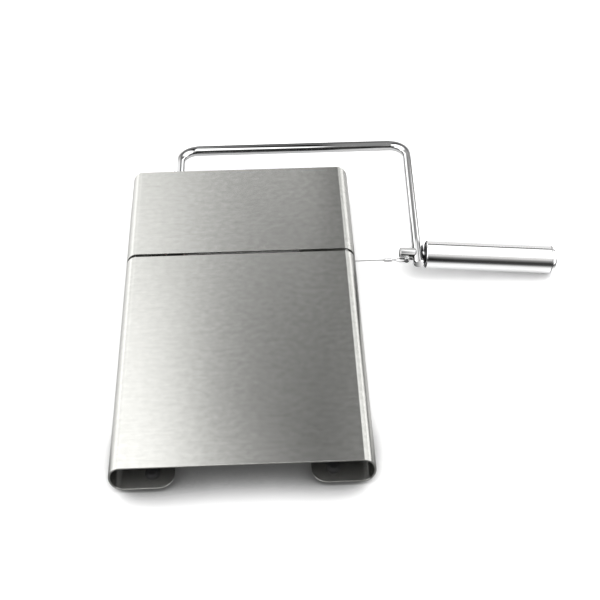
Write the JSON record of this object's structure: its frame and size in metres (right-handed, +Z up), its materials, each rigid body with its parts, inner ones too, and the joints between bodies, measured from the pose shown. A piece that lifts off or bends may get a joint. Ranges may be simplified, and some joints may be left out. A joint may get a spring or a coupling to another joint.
{
  "type": "cheese wire cutter",
  "caption": "Folded stainless cutting board with a cross slot, and a swinging chromed rod arm that pulls a taut wire down through the slot.",
  "frame": {"origin": "centre of the board's flat top face", "axes": "+X towards the handle, +Y towards the arm's back bar, +Z up out of the cutting surface"},
  "size_m": [0.2474, 0.2432, 0.023],
  "materials": {
    "brushed_stainless": "satin, fine brush lines across the board",
    "bright_chrome": "mirror chrome plate",
    "polished_steel": "polished, faint turning lines round the axis",
    "wire_steel": "bright drawn wire",
    "spring_steel": "dark spring steel",
    "zinc_steel": "dull zinc plate",
    "white_nylon": "moulded",
    "black_rubber": "matte moulded"
  },
  "bodies": {
    "board": {"board": "brushed_stainless", "foot_front_left": "black_rubber", "foot_front_right": "black_rubber", "foot_rear_left": "black_rubber", "foot_rear_right": "black_rubber", "pivot_bracket_front": "zinc_steel", "pivot_bracket_rear": "zinc_steel", "pivot_bush_front": "white_nylon", "pivot_bush_rear": "white_nylon", "rivet_front_left": "zinc_steel", "rivet_front_right": "zinc_steel", "rivet_rear_left": "zinc_steel", "rivet_rear_right": "zinc_steel"},
    "arm": {"arm_rod": "bright_chrome", "retaining_clip_front": "spring_steel", "retaining_clip_rear": "spring_steel", "cutting_wire": "wire_steel", "thrust_washer": "zinc_steel"},
    "handle": {"handle_tube": "polished_steel", "handle_insert": "zinc_steel", "handle_end_cap": "polished_steel"},
    "tension_bolt": {"tension_bolt": "bright_chrome", "wire_hook_pin": "bright_chrome"}
  },
  "joints": [
    {"name": "arm_swing", "type": "hinge", "parent": "board", "child": "arm", "pos_m": [-0.038, 0, -0.0105], "axis": [0, -1, 0], "range_deg": [0, 180]},
    {"name": "handle_turn", "type": "hinge", "parent": "arm", "child": "handle", "pos_m": [0.1023, 0.0395, -0.0105], "axis": [0.9974, -0.0523, -0.0497], "range_deg": [0, 1440]},
    {"name": "bolt_slide", "type": "slide", "parent": "arm", "child": "tension_bolt", "axis": [-0.9974, 0.0523, 0.0497], "range_m": [0, 0.0028]}
  ],
  "couplings": [
    {"joint": "bolt_slide", "follows": "handle_turn", "m_per_rad": 0.0001114}
  ]
}
